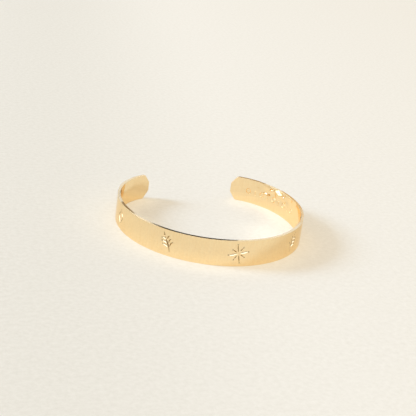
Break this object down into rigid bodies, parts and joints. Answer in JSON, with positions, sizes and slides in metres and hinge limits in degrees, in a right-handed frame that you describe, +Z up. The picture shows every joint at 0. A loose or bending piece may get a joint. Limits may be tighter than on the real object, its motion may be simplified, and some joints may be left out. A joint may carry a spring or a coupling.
{
  "type": "cuff bracelet",
  "caption": "Open cuff bracelet: a narrow polished gold-coloured metal strip with clipped tips, bent to an oval, lightly engraved outside and punch-marked inside one tip.",
  "frame": {"origin": "middle of the bracelet's outline seen from above, on the level of its lower edge", "axes": "+Z up, across the strip's width; +Y from the closed front towards the gap between the tips; +X to the right, the side of the tip with the punched marks"},
  "size_m": [0.0602, 0.0536, 0.0084],
  "materials": {
    "gold_metal": "polished"
  },
  "bodies": {
    "root": {"cuff_band": "gold_metal"}
  },
  "joints": []
}
